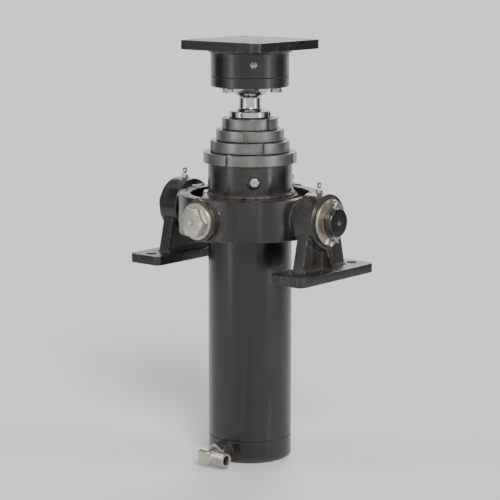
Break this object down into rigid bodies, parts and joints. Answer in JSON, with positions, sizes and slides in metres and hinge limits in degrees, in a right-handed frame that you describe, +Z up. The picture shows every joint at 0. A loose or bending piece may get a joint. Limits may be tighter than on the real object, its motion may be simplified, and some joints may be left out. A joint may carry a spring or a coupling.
{
  "type": "telescopic hydraulic cylinder",
  "caption": "Telescopic hydraulic cylinder hung in a cradle ring between foot brackets, with nested sliding stages and a ball in a bolt-on cup that lifts a tipping body.",
  "frame": {"origin": "where the cradle ring's axis and the trunnion axis cross, on the cylinder's own axis", "axes": "+Z up along the cylinder, the way it extends; -Y towards the front of the trailer; +X towards the trailer's left side; the cradle ring turns in its brackets about X, the barrel in the ring about Y"},
  "size_m": [0.2892, 0.23, 0.542],
  "materials": {
    "black_paint": "satin",
    "hard_chrome": "ground and polished",
    "dark_steel": "turned, black oxide",
    "zinc_plate": "zinc plated",
    "bronze": "machined",
    "seal_rubber": "matte",
    "wiper_polyurethane": "satin",
    "guide_band": "matte",
    "liner_acetal": "satin"
  },
  "bodies": {
    "chassis_brackets": {"left_bracket": "black_paint", "right_bracket": "black_paint", "left_bracket_bush": "bronze", "right_bracket_bush": "bronze", "left_grease_nipple": "zinc_plate", "right_grease_nipple": "zinc_plate"},
    "cradle_ring": {"cradle_ring": "black_paint", "left_stub_washer": "zinc_plate", "right_stub_washer": "zinc_plate", "left_split_pin": "zinc_plate", "right_split_pin": "zinc_plate", "front_trunnion_bush": "bronze", "rear_trunnion_bush": "bronze", "ring_front_grease_nipple": "zinc_plate", "ring_rear_grease_nipple": "zinc_plate"},
    "barrel": {"barrel_tube": "black_paint", "base_cap": "black_paint", "base_o_ring": "seal_rubber", "trunnion_collar": "black_paint", "front_trunnion_pin": "zinc_plate", "rear_trunnion_pin": "zinc_plate", "barrel_gland_nut": "dark_steel", "barrel_rod_seal": "seal_rubber", "barrel_wiper": "wiper_polyurethane", "inlet_elbow": "zinc_plate", "inlet_lock_nut": "zinc_plate", "bleed_screw": "zinc_plate"},
    "stage_1": {"stage_1_tube": "hard_chrome", "stage_1_gland_nut": "dark_steel", "stage_1_rod_seal": "seal_rubber", "stage_1_wiper": "wiper_polyurethane", "stage_1_guide_collar": "dark_steel", "stage_1_guide_band": "guide_band"},
    "stage_2": {"stage_2_tube": "hard_chrome", "stage_2_gland_nut": "dark_steel", "stage_2_rod_seal": "seal_rubber", "stage_2_wiper": "wiper_polyurethane", "stage_2_guide_collar": "dark_steel", "stage_2_guide_band": "guide_band"},
    "stage_3": {"stage_3_tube": "hard_chrome", "stage_3_gland_nut": "dark_steel", "stage_3_rod_seal": "seal_rubber", "stage_3_wiper": "wiper_polyurethane", "stage_3_guide_collar": "dark_steel", "stage_3_guide_band": "guide_band"},
    "plunger_band": {"plunger_guide_band": "guide_band"},
    "plunger": {"plunger": "hard_chrome", "plunger_guide_collar": "dark_steel", "ball_stud": "hard_chrome", "ball_stud_o_ring": "seal_rubber"},
    "ball_seat": {"ball_seat_liner": "liner_acetal"},
    "cup": {"cup_housing": "black_paint", "cup_retainer_front": "black_paint", "cup_retainer_rear": "black_paint", "cup_grease_nipple": "zinc_plate", "cup_bolt_1": "zinc_plate", "cup_bolt_2": "zinc_plate", "cup_bolt_3": "zinc_plate", "cup_bolt_4": "zinc_plate"}
  },
  "joints": [
    {"name": "ring_pitch", "type": "hinge", "parent": "chassis_brackets", "child": "cradle_ring", "pos_m": [0, 0, 0], "axis": [-1, 0, 0], "range_deg": [-5, 25]},
    {"name": "barrel_roll", "type": "hinge", "parent": "cradle_ring", "child": "barrel", "pos_m": [0, 0, 0], "axis": [0, 1, 0], "range_deg": [-20, 20]},
    {"name": "stage_1_slide", "type": "slide", "parent": "barrel", "child": "stage_1", "axis": [0, 0, 1], "range_m": [0, 0.3]},
    {"name": "stage_2_slide", "type": "slide", "parent": "stage_1", "child": "stage_2", "axis": [0, 0, 1], "range_m": [0, 0.3]},
    {"name": "stage_3_slide", "type": "slide", "parent": "stage_2", "child": "stage_3", "axis": [0, 0, 1], "range_m": [0, 0.3]},
    {"name": "plunger_slide", "type": "slide", "parent": "stage_3", "child": "plunger_band", "axis": [0, 0, 1], "range_m": [0, 0.3]},
    {"name": "plunger_spin", "type": "hinge", "parent": "plunger_band", "child": "plunger", "pos_m": [0, 0, 0.12], "axis": [0, 0, 1], "continuous": true},
    {"name": "cup_pitch", "type": "hinge", "parent": "plunger", "child": "ball_seat", "pos_m": [0, 0, 0.175], "axis": [-1, 0, 0], "range_deg": [-5, 30]},
    {"name": "cup_roll", "type": "hinge", "parent": "ball_seat", "child": "cup", "pos_m": [0, 0, 0.175], "axis": [0, 1, 0], "range_deg": [-30, 30]}
  ]
}
